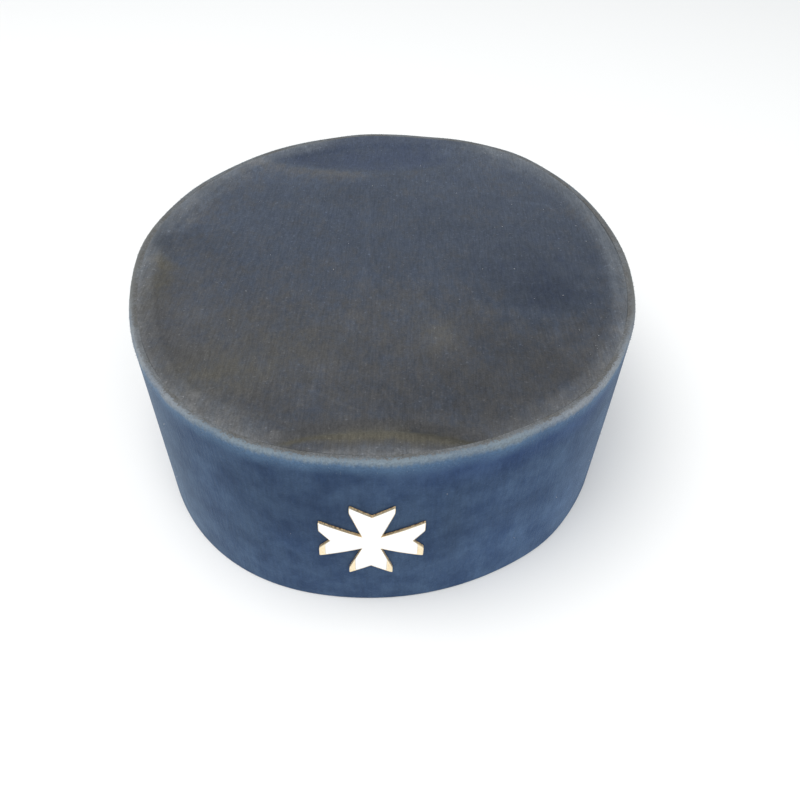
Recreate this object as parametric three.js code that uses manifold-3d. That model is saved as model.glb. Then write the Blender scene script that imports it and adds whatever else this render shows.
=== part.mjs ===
// A stiff oval velvet cap with a flat top and an eight-pointed cross badge on the front.
// Millimetres, +Z up. The origin is on the resting plane under the middle of the cap.
// The badge faces -Y, and +X is to its right as it is looked at.

import * as THREE from "three";
import { mergeVertices } from "three/addons/utils/BufferGeometryUtils.js";
import Module from "manifold-3d";

const wasm = await Module();
wasm.setup();

// The cap's outer sizes.
const CAP_WIDTH = 180;
const CAP_LENGTH = 211.2;
const CAP_HEIGHT = 69;
const BOTTOM_INSET = 2.7; // how far the band leans in between its rim and its hem
const OVAL_POWER = 2.12; // 2 is an ellipse, more is squarer
const OVAL_SHIFT = -0.0107; // pushes two opposite quarters out and draws the other two in
const CAP_TURN = THREE.MathUtils.degToRad(-4.35); // the cap's long axis against the badge's

// Walls and clearances.
const WALL = 2.8;
const PANEL_THICKNESS = 2.5;
const GAP = 0.3;
const ROUND_STEPS = 96;

// The band's rim, ledge and hem.
const RIM_ROUND = 1.4;
const RIM_LIP_DROP = 0.9; // the rim's inner lip ends this far below the top of the roll
const LEDGE_REACH = 1.8;
const LEDGE_DEPTH = 3.2;
const HEM_ROUND = 0.55;

// The top panel's surface, as heights below the top of the rim.
const SEAM_DROP = 0.9;
const ROLL_DROP = 0.1;
const FIELD_DROP = 0.9;
const DISH_DROP = 0.5; // the field sinks this much more towards its middle
const ROLL_START = 1.6; // distances in from the panel's edge
const ROLL_END = 5.2;
const FIELD_START = 8.4;

// The badge.
// Each arm ends in two points, which are cut straight up and down by blunt.
const SIDE_ARMS = { reach: 16.1, spread: 8.3, notch: 12.6, bluntAlong: 0, bluntAcross: 3.9 };
const UPRIGHT_ARMS = { reach: 16.8, spread: 6.8, notch: 12.6, bluntAlong: 2.5, bluntAcross: 0 };
const CROSS_WAIST = 2.9; // the inner corners, out from the middle both ways
const LOW_ARM = 3; // the arm that points down, counted round from the right one
const LOW_ARM_SHORTER = 0.7;
const CROSS_TURN = THREE.MathUtils.degToRad(-1); // it is pinned on a little askew
const CROSS_ASIDE = -0.27; // and a little to the left
const CROSS_DOWN = 36; // from the top of the cap to the middle of the cross
const PLATE_BACK = 0.5;
const PLATE_BORDER = 0.25;
const PLATE_RISE = 0.5; // the border stands this far over the plate's floor
const TIP_BARE = 1.9; // bare metal at each lower point
const SHEET_HEIGHT = 48;
const SHEET_STEPS = 14; // flats across the bent sheet that the badge is cut from
const SHEET_SPREAD = 0.26; // its half spread round the oval, in radians
const ENAMEL_GAP = 0.1;
const ENAMEL_THICKNESS = 0.4;
const POST_RADIUS = 1.5;
const POST_SIDES = 16;
const NUT_RADIUS = 4.5;
const NUT_SIDES = 24;
const NUT_THICKNESS = 1.6;
const NUT_SEAT = 0.65; // the flat nut stands off the curved wall at its middle, so that its edge is clear

// Creases of the top panel. Each follows y = y + bend * (distance along x)^2 and fades at its ends.
// depth is the groove's (below 0) or the ridge's height, and step is the change of level beyond it,
// which dies away towards the panel's edge.
const CREASES = [
  { at: "front crescent", x: 4, y: -90.4, halfLength: 42, bend: -0.0085, halfWidth: 2.0, depth: -0.9, step: 0 },
  { at: "back fold", x: -13, y: 68.5, halfLength: 48, bend: 0.005, halfWidth: 2.6, depth: -0.3, step: -1.0 },
  { at: "back ridge", x: -38, y: 61, halfLength: 36, bend: 0.0016, halfWidth: 5.5, depth: 0.5, step: 0 },
];

const STEP_START = 0.5; // distances in from the panel's edge
const STEP_END = 8;

// The panel's rings, as shares of its own outline.
const PANEL_RINGS = [
  0, 0.2, 0.38, 0.53, 0.62, 0.66, 0.7, 0.735, 0.77, 0.805, 0.835, 0.862, 0.882, 0.898, 0.914, 0.93, 0.95, 0.968,
  0.984, 1,
];

// The oval at a given half width and half length, at one angle round from the right side.
function ovalPoint(angle, halfWidth, halfLength) {
  const c = Math.cos(angle);
  const s = Math.sin(angle);
  const swell = 1 + OVAL_SHIFT * Math.sin(4 * angle);
  const x = halfWidth * Math.sign(c) * Math.abs(c) ** (2 / OVAL_POWER) * swell;
  const y = halfLength * Math.sign(s) * Math.abs(s) ** (2 / OVAL_POWER) * swell;
  const turned = new THREE.Vector2(x, y);
  return turned.rotateAround(new THREE.Vector2(), CAP_TURN);
}

// The outer face of the band at a height, moved in by inset.
function bandPoint(angle, height, inset = 0) {
  const lean = BOTTOM_INSET * (1 - height / CAP_HEIGHT);
  return ovalPoint(angle, CAP_WIDTH / 2 - lean - inset, CAP_LENGTH / 2 - lean - inset);
}

// A closed geometry whose neighbours share their corners, with no collapsed triangle.
function welded(geometry) {
  const bare = geometry.clone();
  bare.deleteAttribute("normal");
  bare.deleteAttribute("uv");
  const merged = mergeVertices(bare, 1e-5);
  const index = merged.index.array;
  const kept = [];
  for (let i = 0; i < index.length; i += 3) {
    const [a, b, c] = [index[i], index[i + 1], index[i + 2]];
    if (a !== b && b !== c && c !== a) kept.push(a, b, c);
  }
  merged.setIndex(kept);
  return merged;
}

// Turns a closed profile round and sends each corner to its place on the oval.
function turnedOval(profile, place) {
  const geometry = new THREE.LatheGeometry(profile, ROUND_STEPS);
  const position = geometry.attributes.position;
  const corner = new THREE.Vector3();
  for (let i = 0; i < position.count; i++) {
    corner.fromBufferAttribute(position, i);
    const angle = Math.atan2(-corner.z, corner.x);
    const placed = place(Math.hypot(corner.x, corner.z), corner.y, angle);
    position.setXYZ(i, placed.x, placed.y, placed.z);
  }
  return welded(geometry);
}

function toSolid(geometry) {
  const shared = welded(geometry);
  return new wasm.Manifold(
    new wasm.Mesh({
      numProp: 3,
      vertProperties: new Float32Array(shared.attributes.position.array),
      triVerts: new Uint32Array(shared.index.array),
    }),
  );
}

function toGeometry(solid) {
  const mesh = solid.getMesh();
  const geometry = new THREE.BufferGeometry();
  geometry.setAttribute("position", new THREE.BufferAttribute(new Float32Array(mesh.vertProperties), 3));
  geometry.setIndex(new THREE.BufferAttribute(new Uint32Array(mesh.triVerts), 1));
  geometry.computeVertexNormals();
  return geometry;
}

// Profile points on a round about a centre, at angles in degrees up from straight outwards.
function roundPoints(inset, height, radius, degrees) {
  return degrees.map((degree) => {
    const angle = THREE.MathUtils.degToRad(degree);
    return { inset: inset - radius * Math.cos(angle), height: height + radius * Math.sin(angle) };
  });
}

const slope = Math.atan2(BOTTOM_INSET, CAP_HEIGHT);
const ledgeTop = CAP_HEIGHT - SEAM_DROP - PANEL_THICKNESS;

// The band's section, from the outer edge of the hem's flat up, over the rim and down the inside.
function bandSection() {
  const middle = CAP_HEIGHT / 2;
  return [
    ...roundPoints(HEM_ROUND, HEM_ROUND, HEM_ROUND, [-90, -45, 0]),
    { inset: 0, height: middle },
    ...roundPoints(RIM_ROUND, CAP_HEIGHT - RIM_ROUND, RIM_ROUND, [0, 30, 60, 90, 118, 145]),
    { inset: WALL, height: CAP_HEIGHT - RIM_LIP_DROP },
    { inset: WALL, height: ledgeTop },
    { inset: WALL + LEDGE_REACH, height: ledgeTop },
    { inset: WALL + LEDGE_REACH, height: ledgeTop - LEDGE_DEPTH / 2 },
    { inset: WALL, height: ledgeTop - LEDGE_DEPTH },
    { inset: WALL, height: middle },
    ...roundPoints(WALL - HEM_ROUND, HEM_ROUND, HEM_ROUND, [180, 225, 270]),
  ];
}

function makeSideBand() {
  const profile = bandSection().map(({ inset, height }) => new THREE.Vector2(CAP_WIDTH / 2 - inset, height));
  profile.push(profile[0].clone());
  const ring = turnedOval(profile, (radius, height, angle) => {
    const point = bandPoint(angle, height, CAP_WIDTH / 2 - radius);
    return { x: point.x, y: point.y, z: height };
  });
  const holeRadius = POST_RADIUS + GAP;
  const hole = new THREE.CylinderGeometry(holeRadius, holeRadius, 4 * WALL, POST_SIDES);
  hole.rotateX(slope).translate(badgeSeat.x, badgeSeat.y, badgeSeat.z);
  return toGeometry(toSolid(ring).subtract(toSolid(hole)));
}

function smoothStep(value, from, to) {
  return THREE.MathUtils.smoothstep(value, from, to);
}

// The height of the creases at a place on the top.
function creaseHeight(x, y, edgeDistance) {
  const inside = smoothStep(edgeDistance, STEP_START, STEP_END);
  let height = 0;
  for (const crease of CREASES) {
    const along = x - crease.x;
    const lean = 2 * crease.bend * along;
    const beyond = (y - crease.y - crease.bend * along * along) / Math.hypot(1, lean);
    const fade = 1 - smoothStep(Math.abs(along), 0.55 * crease.halfLength, crease.halfLength);
    const groove = crease.depth * Math.exp(-((beyond / crease.halfWidth) ** 2));
    const step = crease.step * smoothStep(beyond, 0, 3 * crease.halfWidth) * inside;
    height += (groove + step) * fade;
  }
  return height;
}

// The depth of the top's surface below the rim at a distance in from the panel's edge.
function surfaceDrop(edgeDistance, share) {
  const up = smoothStep(edgeDistance, 0, ROLL_START);
  const down = smoothStep(edgeDistance, ROLL_END, FIELD_START);
  const roll = THREE.MathUtils.lerp(SEAM_DROP, ROLL_DROP, up);
  const field = FIELD_DROP + DISH_DROP * (1 - share * share);
  return THREE.MathUtils.lerp(roll, field, down);
}

function makeTopPanel() {
  const halfWidth = CAP_WIDTH / 2 - WALL - GAP;
  const halfLength = CAP_LENGTH / 2 - WALL - GAP;
  const bottom = ledgeTop + GAP;
  const top = PANEL_RINGS.toReversed().map((share) => new THREE.Vector2(share, 1));
  const profile = [new THREE.Vector2(0, 0), new THREE.Vector2(0.5, 0), new THREE.Vector2(1, 0), ...top];
  return turnedOval(profile, (share, level, angle) => {
    const point = ovalPoint(angle, halfWidth * share, halfLength * share);
    if (level < 0.5) return { x: point.x, y: point.y, z: bottom };
    const edgeDistance = (1 - share) * halfWidth;
    const inField = smoothStep(edgeDistance, 0, ROLL_START);
    const drop = surfaceDrop(edgeDistance, share) - creaseHeight(point.x, point.y, edgeDistance) * inField;
    return { x: point.x, y: point.y, z: CAP_HEIGHT - drop };
  });
}

// Where the middle of the cross sits on the band's outer face, found at the front where x is 0.
function findSeat(height) {
  let [low, high] = [-0.75 * Math.PI, -0.25 * Math.PI];
  for (let i = 0; i < 40; i++) {
    const middle = (low + high) / 2;
    if (bandPoint(middle, height).x < 0) low = middle;
    else high = middle;
  }
  const point = bandPoint(low, height);
  return { angle: low, x: 0, y: point.y, z: height };
}
const badgeSeat = findSeat(CAP_HEIGHT - CROSS_DOWN);

// The corners of the cross. cut says how far an inlay is drawn in from the edge that leaves each corner.
function crossCorners() {
  const corners = [];
  for (let arm = 0; arm < 4; arm++) {
    const { reach, spread, notch, bluntAlong, bluntAcross } = arm % 2 ? UPRIGHT_ARMS : SIDE_ARMS;
    const turn = (arm * Math.PI) / 2 + CROSS_TURN;
    const shorter = arm === LOW_ARM ? LOW_ARM_SHORTER : 0;
    const place = (along, across, isBlunt = false) => {
      const point = new THREE.Vector2(along, across).rotateAround(new THREE.Vector2(), turn);
      const cut = isBlunt && point.y < 0 ? TIP_BARE : PLATE_BORDER;
      point.x += CROSS_ASIDE;
      corners.push({ point, cut });
    };
    const end = reach - shorter;
    place(end - bluntAlong, -spread, true);
    place(end, -spread + bluntAcross);
    place(notch - shorter, 0);
    place(end, spread - bluntAcross, true);
    place(end - bluntAlong, spread);
    place(CROSS_WAIST, CROSS_WAIST);
  }
  return corners;
}

// The cross drawn in by each edge's own cut and by extra all round.
function insetCross(extra) {
  const corners = crossCorners();
  const edges = corners.map(({ point, cut }, i) => {
    const next = corners[(i + 1) % corners.length].point;
    const along = next.clone().sub(point).normalize();
    const inward = new THREE.Vector2(-along.y, along.x).multiplyScalar(cut + extra);
    return { start: point.clone().add(inward), along };
  });
  return edges.map((edge, i) => {
    const before = edges[(i + edges.length - 1) % edges.length];
    const between = edge.start.clone().sub(before.start);
    const reach = between.cross(edge.along) / before.along.cross(edge.along);
    return before.start.clone().addScaledVector(before.along, reach);
  });
}

// A straight prism of an outline that is drawn in x and z, running through the badge from front to back.
function crossPrism(outline) {
  const depth = 20;
  const prism = new THREE.ExtrudeGeometry(new THREE.Shape(outline), { depth, bevelEnabled: false });
  return toSolid(prism.translate(0, 0, -depth / 2).rotateX(Math.PI / 2));
}

// A bent sheet that follows the band's front, between two distances out from the band's face.
function bentSheet(inner, outer) {
  const face = [];
  for (let i = 0; i <= SHEET_STEPS; i++) {
    const angle = badgeSeat.angle + SHEET_SPREAD * ((2 * i) / SHEET_STEPS - 1);
    face.push(bandPoint(angle, badgeSeat.z).sub(new THREE.Vector2(0, badgeSeat.y)));
  }
  const outward = face.map((_, i) => {
    const before = face[Math.max(i - 1, 0)];
    const after = face[Math.min(i + 1, SHEET_STEPS)];
    const along = after.clone().sub(before).normalize();
    return new THREE.Vector2(along.y, -along.x);
  });
  const shifted = (distance) => face.map((point, i) => point.clone().addScaledVector(outward[i], distance));
  const outline = [...shifted(outer), ...shifted(inner).reverse()];
  const sheet = new THREE.ExtrudeGeometry(new THREE.Shape(outline), { depth: SHEET_HEIGHT, bevelEnabled: false });
  return toSolid(sheet.translate(0, 0, -SHEET_HEIGHT / 2));
}

const plateOutline = crossCorners().map(({ point }) => point);
const plateFloor = GAP + PLATE_BACK;

function makeBadgePlate() {
  const whole = bentSheet(GAP, plateFloor + PLATE_RISE).intersect(crossPrism(plateOutline));
  const pocket = bentSheet(plateFloor, plateFloor + 4 * PLATE_RISE).intersect(crossPrism(insetCross(0)));
  return toGeometry(whole.subtract(pocket));
}

function makeBadgeEnamel() {
  const inner = plateFloor + ENAMEL_GAP;
  const sheet = bentSheet(inner, inner + ENAMEL_THICKNESS);
  return toGeometry(sheet.intersect(crossPrism(insetCross(ENAMEL_GAP))));
}

// The post lies along y and runs from just behind the plate to the nut inside the band.
function makeBadgeFixing() {
  const nutFront = WALL + NUT_SEAT;
  const postLength = nutFront + NUT_THICKNESS / 2;
  const post = new THREE.CylinderGeometry(POST_RADIUS, POST_RADIUS, postLength, POST_SIDES);
  const nut = new THREE.CylinderGeometry(NUT_RADIUS, NUT_RADIUS, NUT_THICKNESS, NUT_SIDES);
  post.translate(0, postLength / 2, 0);
  nut.translate(0, nutFront + NUT_THICKNESS / 2, 0);
  return toGeometry(toSolid(post).add(toSolid(nut)));
}

const FINISHES = {
  velvet_side: { color: 0x2f4263, roughness: 0.95, metalness: 0 },
  velvet_top: { color: 0x33373f, roughness: 0.95, metalness: 0 },
  gilt: { color: 0xc9a15a, roughness: 0.3, metalness: 1 },
  enamel: { color: 0xf7f8fa, roughness: 0.15, metalness: 0 },
  plain_metal: { color: 0xb0b0ac, roughness: 0.4, metalness: 1 },
};

const cap = new THREE.Group();

function addPiece(name, geometry, finish, onBadge = false) {
  const piece = new THREE.Mesh(geometry, new THREE.MeshStandardMaterial(FINISHES[finish]));
  piece.name = name;
  if (onBadge) {
    piece.position.set(badgeSeat.x, badgeSeat.y, badgeSeat.z);
    piece.rotation.x = slope;
  }
  cap.add(piece);
}

addPiece("side_band", makeSideBand(), "velvet_side");
addPiece("top_panel", makeTopPanel(), "velvet_top");
addPiece("badge_plate", makeBadgePlate(), "gilt", true);
addPiece("badge_enamel", makeBadgeEnamel(), "enamel", true);
addPiece("badge_fixing", makeBadgeFixing(), "plain_metal", true);

export default cap;
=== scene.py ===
"""A stiff oval cap in dark blue velvet, with a white enamelled eight-pointed cross on its front.

Metres, +Z up, the front towards -Y and the hem on z = 0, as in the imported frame. Angles round the
cap are in degrees from its right side, +X, through its back.
"""

import math

import bmesh
import bpy
import numpy as np
from mathutils import Matrix, Vector


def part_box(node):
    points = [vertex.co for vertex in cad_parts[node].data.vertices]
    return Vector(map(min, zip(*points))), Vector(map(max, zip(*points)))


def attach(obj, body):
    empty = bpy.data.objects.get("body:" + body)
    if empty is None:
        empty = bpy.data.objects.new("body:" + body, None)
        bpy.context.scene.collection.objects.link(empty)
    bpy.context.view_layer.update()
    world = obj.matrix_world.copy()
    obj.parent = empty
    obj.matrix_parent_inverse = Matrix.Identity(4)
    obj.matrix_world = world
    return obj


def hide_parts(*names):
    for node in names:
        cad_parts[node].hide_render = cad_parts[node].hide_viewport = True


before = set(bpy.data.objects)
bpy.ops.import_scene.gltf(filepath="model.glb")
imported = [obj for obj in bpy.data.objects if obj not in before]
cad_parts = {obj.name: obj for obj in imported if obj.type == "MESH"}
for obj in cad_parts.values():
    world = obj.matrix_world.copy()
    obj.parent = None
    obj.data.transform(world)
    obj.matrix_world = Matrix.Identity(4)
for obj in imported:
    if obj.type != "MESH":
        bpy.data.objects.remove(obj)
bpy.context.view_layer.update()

MM = 0.001

# The cap, as in the frame.
CAP_WIDTH = 180 * MM
CAP_LENGTH = 211.2 * MM
CAP_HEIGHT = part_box("side_band")[1].z
BOTTOM_INSET = 2.7 * MM
OVAL_POWER = 2.12
OVAL_SHIFT = -0.0107
CAP_TURN = math.radians(-4.35)
WALL = 2.8 * MM
GAP = 0.3 * MM
LEDGE_REACH = 1.8 * MM
LEDGE_DEPTH = 3.2 * MM
PANEL_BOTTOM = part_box("top_panel")[0].z
LEDGE_TOP = PANEL_BOTTOM - GAP

# The camera stands where the photograph was taken from. Its frame is 800 pixels square.
CAMERA_PLACE = Vector((7.74, -255.2, 228.95)) * MM
CAMERA_DOWN = math.radians(42.33)
CAMERA_TURN = math.radians(0.19)
CAMERA_ROLL = math.radians(1.507)
CAMERA_LENS = 36.0
CAMERA_SENSOR = 36.0
CAMERA_NEAR = 10 * MM

# The stage: a pale floor, a soft sky and two round lamps that point at the cap.
FLOOR_REACH = 3.0
FLOOR_COLOUR = (0.86, 0.85, 0.83, 1)
SKY_COLOUR = (0.92, 0.96, 1.0, 1)
SKY_STRENGTH = 0.75
LAMPS = (
    dict(name="overhead", place=(-0.35, -0.25, 1.3), size=1.2, power=12.0),
    dict(name="front", place=(0.5, -1.1, 0.75), size=0.9, power=5.0),
)

TINY = 1e-6  # places nearer than this are the same place
SHARP_ANGLE = math.radians(38)  # faces that meet more steeply than this have a sharp edge


def add(tree, kind, inputs=None, **settings):
    """Adds a node with its settings, and links or sets its inputs."""
    node = tree.nodes.new(kind)
    for name, value in settings.items():
        setattr(node, name, value)
    for key, value in (inputs or {}).items():
        socket = node.inputs[key]
        if isinstance(value, bpy.types.NodeSocket):
            tree.links.new(value, socket)
        else:
            socket.default_value = value
    return node


def add_object(name, data):
    piece = bpy.data.objects.new(name, data)
    bpy.context.scene.collection.objects.link(piece)
    return piece


def make_camera():
    data = bpy.data.cameras.new("camera")
    data.lens, data.sensor_width, data.sensor_fit = CAMERA_LENS, CAMERA_SENSOR, "HORIZONTAL"
    data.clip_start = CAMERA_NEAR
    camera = add_object("camera", data)
    tip = Matrix.Rotation(math.pi / 2 - CAMERA_DOWN, 4, "X")
    turn = Matrix.Rotation(CAMERA_TURN, 4, "Z")
    roll = Matrix.Rotation(CAMERA_ROLL, 4, "Z")
    camera.matrix_world = Matrix.Translation(CAMERA_PLACE) @ turn @ tip @ roll
    bpy.context.scene.camera = camera


def make_floor():
    mesh = bpy.data.meshes.new("floor")
    signs = ((-1, -1), (1, -1), (1, 1), (-1, 1))
    mesh.from_pydata([(x * FLOOR_REACH, y * FLOOR_REACH, 0) for x, y in signs], [], [(0, 1, 2, 3)])
    finish, _, _ = new_finish("pale_floor", 0.9, Base_Color=FLOOR_COLOUR)
    mesh.materials.append(finish)
    add_object("floor", mesh)


def make_light():
    scene = bpy.context.scene
    scene.view_settings.view_transform = "Standard"
    scene.world = bpy.data.worlds.new("daylight")
    scene.world.use_nodes = True
    sky = scene.world.node_tree.nodes["Background"]
    sky.inputs["Color"].default_value = SKY_COLOUR
    sky.inputs["Strength"].default_value = SKY_STRENGTH
    for sizes in LAMPS:
        data = bpy.data.lights.new(sizes["name"], "AREA")
        data.shape, data.size, data.energy = "DISK", sizes["size"], sizes["power"]
        lamp = add_object(sizes["name"], data)
        lamp.location = sizes["place"]
        lamp.rotation_euler = (-Vector(sizes["place"])).to_track_quat("-Z", "Y").to_euler()


# Shape helpers, which work on whole arrays.
def smooth(value, low, high):
    """0 up to low and 1 from high, with a soft rise between them."""
    t = np.clip((value - low) / (high - low), 0, 1)
    return t * t * (3 - 2 * t)


def bell(distance):
    """1 at no distance, and next to nothing from 2 on."""
    return np.exp(-(distance**2))


def ripples(points, size, seed, count=9):
    """Soft random waves of about 1 either way over an array of places. size is their length."""
    random = np.random.default_rng(seed)
    total = 0
    for _ in range(count):
        way = random.normal(size=points.shape[-1])
        way *= 2 * math.pi / (size * random.uniform(0.7, 1.5) * np.linalg.norm(way))
        total = total + np.sin(points @ way + random.uniform(0, 2 * math.pi))
    return total / math.sqrt(count)


def angle_round(x, y):
    """The angle of places round the cap."""
    return np.degrees(np.arctan2(y, x))


def share_at(angle, place):
    """How much of a place there is at an angle: 1 in its middle, dying away over its spread."""
    around = (angle - place["angle"] + 180) % 360 - 180
    return bell(around / place["spread"])


def oval(angle, half_width, half_length):
    """The cap's outline as an array of x and y, at angles in radians before the turn."""
    c, s = np.cos(angle), np.sin(angle)
    swell = 1 + OVAL_SHIFT * np.sin(4 * angle)
    x = half_width * np.sign(c) * np.abs(c) ** (2 / OVAL_POWER) * swell
    y = half_length * np.sign(s) * np.abs(s) ** (2 / OVAL_POWER) * swell
    turned_x = x * math.cos(CAP_TURN) - y * math.sin(CAP_TURN)
    turned_y = x * math.sin(CAP_TURN) + y * math.cos(CAP_TURN)
    return np.stack([turned_x, turned_y], -1)


def band_face(angle, height):
    """The outer face of the band at a height, at angles in radians before the turn."""
    lean = BOTTOM_INSET * (1 - height / CAP_HEIGHT)
    return oval(angle, CAP_WIDTH / 2 - lean, CAP_LENGTH / 2 - lean)


# Where the worn side bulges or has flattened: angle and spread round the cap, and the shift outwards.
SETTLING = (
    dict(at="right bulge", angle=3, spread=15, out=0.35 * MM),
    dict(at="back right bulge", angle=57, spread=7, out=0.95 * MM),
    dict(at="back flat", angle=81, spread=6, out=-0.9 * MM),
    dict(at="back bulge", angle=98, spread=6, out=0.9 * MM),
    dict(at="back left flat", angle=136, spread=13, out=-1.15 * MM),
    dict(at="left bulge", angle=176, spread=14, out=1.6 * MM),
    dict(at="front right bulge", angle=-52, spread=9, out=0.6 * MM),
)
SETTLING_POWER = 4  # how steeply the shift grows from the cap's middle to its side


def settled(points):
    """Moves the points of a velvet piece out or in with the worn outline."""
    angle = angle_round(points[:, 0], points[:, 1])
    radius = np.hypot(points[:, 0], points[:, 1])
    shift = sum(place["out"] * share_at(angle, place) for place in SETTLING)
    reach = np.clip(radius / (CAP_WIDTH / 2), 0, 1) ** SETTLING_POWER
    way = points[:, :2] / np.maximum(radius, TINY)[:, None]
    moved = points.copy()
    moved[:, :2] += way * (shift * reach)[:, None]
    return moved


# Mesh helpers.
def dress(piece, slot, *nodes):
    """Puts a finished piece on the cap, in place of the frame's nodes that it replaces. slot is not used.
    """
    for polygon in piece.data.polygons:
        polygon.use_smooth = True
    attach(piece, "root")
    if nodes:
        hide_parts(*nodes)


def set_marks(mesh, **marks):
    """Stores numbers for each vertex, which the finishes and the strands read by name."""
    for name, values in marks.items():
        layer = mesh.attributes.new(name, "FLOAT", "POINT")
        layer.data.foreach_set("value", np.asarray(values, np.float32).ravel())


def get_points(mesh):
    points = np.zeros(len(mesh.vertices) * 3, np.float32)
    mesh.vertices.foreach_get("co", points)
    return points.reshape(-1, 3).astype(float)


def set_points(mesh, points):
    mesh.vertices.foreach_set("co", np.asarray(points, np.float32).ravel())
    mesh.update()


def mark_sharp(mesh):
    mesh.set_sharp_from_angle(angle=SHARP_ANGLE)


# Geometry Nodes helpers.
def new_geometry_tree(name, inputs):
    """A tree that takes a geometry and named inputs, each given as its socket's kind and value."""
    tree = bpy.data.node_groups.new(name, "GeometryNodeTree")
    tree.interface.new_socket("Geometry", in_out="INPUT", socket_type="NodeSocketGeometry")
    for socket, (kind, value) in inputs.items():
        made = tree.interface.new_socket(socket, in_out="INPUT", socket_type="NodeSocket" + kind)
        if value is not None:
            made.default_value = value
    tree.interface.new_socket("Geometry", in_out="OUTPUT", socket_type="NodeSocketGeometry")
    return tree


def finish_tree(tree, geometry, material):
    """Ends a tree in Realize Instances and Set Material."""
    real = add(tree, "GeometryNodeRealizeInstances", {"Geometry": geometry})
    coated = add(tree, "GeometryNodeSetMaterial", {"Geometry": real.outputs[0], "Material": material})
    out = tree.nodes.new("NodeGroupOutput")
    tree.links.new(coated.outputs[0], out.inputs[0])


def grown_mesh(name, base, tree, values=None):
    """Runs a tree on an object and gives its result as a plain mesh."""
    modifier = base.modifiers.new(tree.name, "NODES")
    modifier.node_group = tree
    for item in tree.interface.items_tree:
        if item.in_out == "INPUT" and item.name in (values or {}):
            modifier[item.identifier] = values[item.name]
    seen = base.evaluated_get(bpy.context.evaluated_depsgraph_get())
    mesh = bpy.data.meshes.new_from_object(seen)
    mesh.name = name
    base.modifiers.remove(modifier)
    return mesh


def math_node(tree, operation, a, b=0.0):
    return add(tree, "ShaderNodeMath", {0: a, 1: b}, operation=operation).outputs[0]


def oval_sweep_tree():
    """Sweeps a section round the cap's oval. The section's x is outwards and its y is up."""
    tree = new_geometry_tree(
        "oval_sweep",
        {
            "Half Width": ("Float", CAP_WIDTH / 2),
            "Half Length": ("Float", CAP_LENGTH / 2),
            "Power": ("Float", OVAL_POWER),
            "Shift": ("Float", OVAL_SHIFT),
            "Turn": ("Float", CAP_TURN),
            "Steps": ("Int", BAND_STEPS),
        },
    )
    given = tree.nodes.new("NodeGroupInput").outputs
    round_path = {"Resolution": given["Steps"], "Radius": 1.0}
    circle = add(tree, "GeometryNodeCurvePrimitiveCircle", round_path)
    along = add(tree, "GeometryNodeSplineParameter").outputs["Factor"]
    angle = math_node(tree, "MULTIPLY", along, 2 * math.pi)
    exponent = math_node(tree, "DIVIDE", 2.0, given["Power"])
    wave = math_node(tree, "SINE", math_node(tree, "MULTIPLY", angle, 4.0))
    swell = math_node(tree, "ADD", math_node(tree, "MULTIPLY", wave, given["Shift"]), 1.0)
    sides = []
    for function, half in (("COSINE", "Half Width"), ("SINE", "Half Length")):
        value = math_node(tree, function, angle)
        size = math_node(tree, "POWER", math_node(tree, "ABSOLUTE", value), exponent)
        signed = math_node(tree, "MULTIPLY", size, math_node(tree, "SIGN", value))
        swollen = math_node(tree, "MULTIPLY", signed, swell)
        sides.append(math_node(tree, "MULTIPLY", swollen, given[half]))
    flat = add(tree, "ShaderNodeCombineXYZ", {"X": sides[0], "Y": sides[1]})
    turned = add(tree, "ShaderNodeVectorRotate", {"Vector": flat.outputs[0], "Angle": given["Turn"]})
    placed = {"Geometry": circle.outputs[0], "Position": turned.outputs[0]}
    path = add(tree, "GeometryNodeSetPosition", placed)
    upright = add(tree, "GeometryNodeSetCurveNormal", {"Curve": path.outputs[0]}, mode="Z_UP")
    over = {"Geometry": given["Geometry"], "Rotation": (math.pi, 0, 0)}
    section = add(tree, "GeometryNodeTransform", over)
    ends = {"Curve": upright.outputs[0], "Profile Curve": section.outputs[0]}
    swept = add(tree, "GeometryNodeCurveToMesh", ends)
    finish_tree(tree, swept.outputs[0], None)
    return tree


def arc(inset, height, radius, start, end, steps):
    """Section points on a round, at angles in degrees up from straight outwards."""
    angles = np.radians(np.linspace(start, end, steps + 1))
    return [(inset - radius * math.cos(a), height + radius * math.sin(a)) for a in angles]


# The side band.
BAND_STEPS = 640
RIM_ROUND = 1.4 * MM
RIM_STEPS = 12
RIM_LIP_DROP = 0.1 * MM  # the round ends at the panel this far below its top
RIM_LIP_DEPTH = 0.8 * MM  # and the inside has its next corner here
HEM_ROUND = 0.55 * MM
HEM_STEPS = 5
LEDGE_ROUND = 0.3 * MM
LEDGE_STEPS = 3
WALL_LEVELS = 26
WALL_WAVE = 0.10 * MM
WALL_WAVE_LENGTH = 55 * MM
WALL_WAVE_START = 12 * MM  # the waves grow up to this height, because the hem stays flat
RIM_FIBRES = dict(
    Seed=7, Density=1.3e6, Shortest=0.15 * MM, Longest=0.45 * MM, Thickness=0.06 * MM, Stray=0.6
)
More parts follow.
